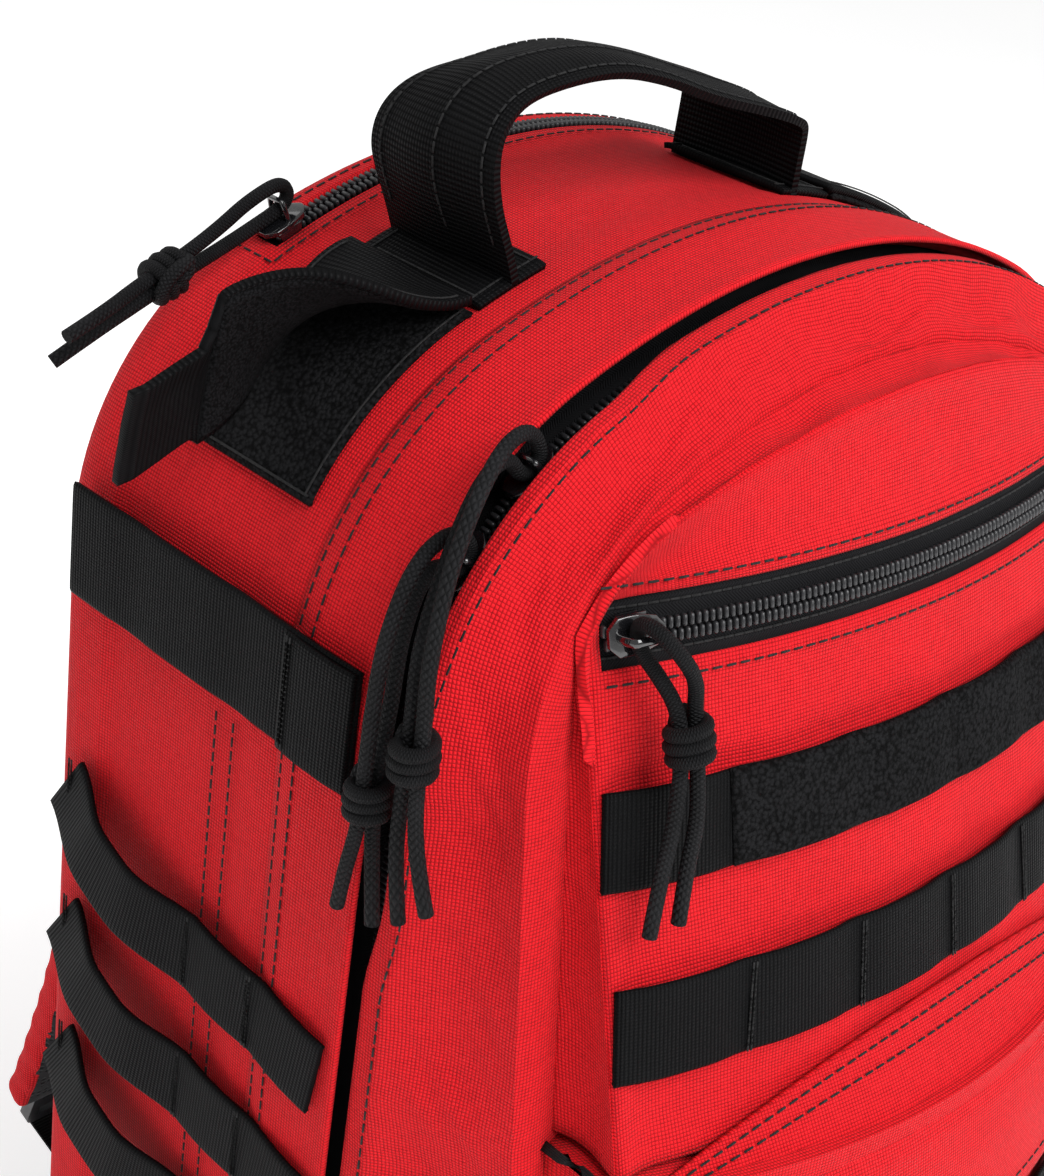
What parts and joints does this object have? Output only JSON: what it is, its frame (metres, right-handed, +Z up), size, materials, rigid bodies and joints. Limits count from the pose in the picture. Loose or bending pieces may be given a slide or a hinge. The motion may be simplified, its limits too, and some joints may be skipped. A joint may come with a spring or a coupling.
{
  "type": "trauma backpack",
  "caption": "Red clamshell medical backpack with a domed top, storm-flapped main zip, front pockets, webbing rows, carry handle, hook flaps and padded shoulder straps.",
  "frame": {"origin": "middle of the main compartment's base, where the bag stands", "axes": "+Z up, +Y towards the wearer's back, +X to the wearer's right"},
  "size_m": [0.3271, 0.3416, 0.5116],
  "materials": {
    "red_cloth": "coarse plain-weave polyester with soft creases and black thread seams",
    "air_mesh": "black spacer mesh over foam, matt",
    "lining": "black coated lining cloth, matt",
    "plastic_sheet": "natural polyethylene sheet",
    "alloy": "mill finish flat bar",
    "zip_tape": "black herringbone tape, matt",
    "zip_coil": "black nylon coil with a soft sheen",
    "slider_metal": "glossy black enamelled die casting",
    "cord": "black braided cord, matt",
    "loop_pile": "fuzzy black loop pile, no shine",
    "hook_tape": "black hook tape on webbing, dull",
    "buckle_plastic": "moulded black acetal, fine grain",
    "webbing": "black ribbed nylon webbing, low sheen"
  },
  "bodies": {
    "main_bag": {"main_gusset": "red_cloth", "hinge_strip": "red_cloth", "base_panel": "red_cloth", "back_panel": "air_mesh", "frame_sheet": "plastic_sheet", "frame_stays": "alloy", "rear_sleeve_panel": "lining", "padded_shelf": "lining", "back_pads": "air_mesh", "lumbar_pad": "air_mesh", "storm_flap": "red_cloth", "main_zip_tape": "zip_tape", "main_zip_chain": "zip_coil", "rear_zip_tape": "zip_tape", "rear_zip_chain": "zip_coil", "left_top_webbing": "webbing", "right_top_webbing": "webbing", "left_molle_rows": "webbing", "right_molle_rows": "webbing", "handle_feet": "webbing", "left_loop_patch": "loop_pile", "right_loop_patch": "loop_pile", "strap_anchors": "webbing", "lower_strap_tabs": "webbing", "left_lower_webbing": "webbing", "right_lower_webbing": "webbing"},
    "lid": {"lid_gusset": "red_cloth", "lid_base_panel": "red_cloth", "lid_front_panel": "red_cloth", "lid_inner_pocket": "lining", "lid_zip_tape": "zip_tape", "lid_zip_chain": "zip_coil", "upper_pocket_face": "red_cloth", "upper_pocket_gusset": "red_cloth", "upper_zip_tape": "zip_tape", "upper_zip_chain": "zip_coil", "front_top_webbing": "webbing", "front_loop_pile": "loop_pile", "front_molle_row": "webbing", "lower_pocket": "red_cloth", "lower_zip_tape": "zip_tape", "lower_zip_chain": "zip_coil", "lower_pocket_flap": "red_cloth", "lower_molle_rows": "webbing"},
    "upper_slider": {"main_slider_upper": "slider_metal", "main_pull_upper": "cord"},
    "lower_slider": {"main_slider_lower": "slider_metal"},
    "lower_pull": {"main_pull_lower": "cord"},
    "top_slider": {"rear_slider": "slider_metal", "rear_pull": "cord"},
    "pocket_slider": {"front_slider": "slider_metal", "front_pull": "cord"},
    "handle": {"carry_handle": "webbing"},
    "left_flap": {"left_hook_flap": "hook_tape"},
    "right_flap": {"right_hook_flap": "hook_tape"},
    "left_strap": {"left_shoulder_pad": "air_mesh", "left_ladder_lock": "buckle_plastic"},
    "right_strap": {"right_shoulder_pad": "air_mesh", "right_ladder_lock": "buckle_plastic"}
  },
  "joints": [
    {"name": "lid_hinge", "type": "hinge", "parent": "main_bag", "child": "lid", "pos_m": [0, -0.0665, 0], "axis": [1, 0, 0], "range_deg": [0, 150]},
    {"name": "upper_slider_travel", "type": "hinge", "parent": "main_bag", "child": "upper_slider", "pos_m": [-0.055, -0.0665, 0.36929], "axis": [0, 1, 0], "range_deg": [0, 13]},
    {"name": "lower_slider_travel", "type": "hinge", "parent": "main_bag", "child": "lower_slider", "pos_m": [-0.055, -0.0665, 0.36929], "axis": [0, 1, 0], "range_deg": [-34, 0]},
    {"name": "lower_pull_hang", "type": "hinge", "parent": "lower_slider", "child": "lower_pull", "pos_m": [-0.12796, -0.0688, 0.4185], "axis": [0, 1, 0], "range_deg": [0, 34]},
    {"name": "top_slider_travel", "type": "hinge", "parent": "main_bag", "child": "top_slider", "pos_m": [0, 0.0465, 0.246], "axis": [0, 1, 0], "range_deg": [0, 46]},
    {"name": "pocket_slider_travel", "type": "hinge", "parent": "lid", "child": "pocket_slider", "pos_m": [0, 0.21635, 0.3156], "axis": [0, 0.2785, 0.9604], "range_deg": [0, 34]},
    {"name": "handle_tip", "type": "hinge", "parent": "main_bag", "child": "handle", "pos_m": [0, -0.0015, 0.463], "axis": [1, 0, 0], "range_deg": [-14, 14], "stiffness_Nm_per_rad": 0.15},
    {"name": "left_flap_lift", "type": "hinge", "parent": "main_bag", "child": "left_flap", "pos_m": [-0.0875, -0.0015, 0.456], "axis": [0, 1, 0], "range_deg": [-5, 55]},
    {"name": "right_flap_lift", "type": "hinge", "parent": "main_bag", "child": "right_flap", "pos_m": [0.0545, -0.0015, 0.4665], "axis": [0, -1, 0], "range_deg": [0, 60]},
    {"name": "left_strap_swing", "type": "hinge", "parent": "main_bag", "child": "left_strap", "pos_m": [-0.075, 0.0695, 0.414], "axis": [1, 0, 0], "range_deg": [0, 22], "deforming": ["left_lower_webbing"]},
    {"name": "right_strap_swing", "type": "hinge", "parent": "main_bag", "child": "right_strap", "pos_m": [0.075, 0.0695, 0.414], "axis": [1, 0, 0], "range_deg": [0, 22], "deforming": ["right_lower_webbing"]}
  ],
  "couplings": [
    {"joint": "lower_pull_hang", "follows": "lower_slider_travel", "ratio": -1}
  ]
}
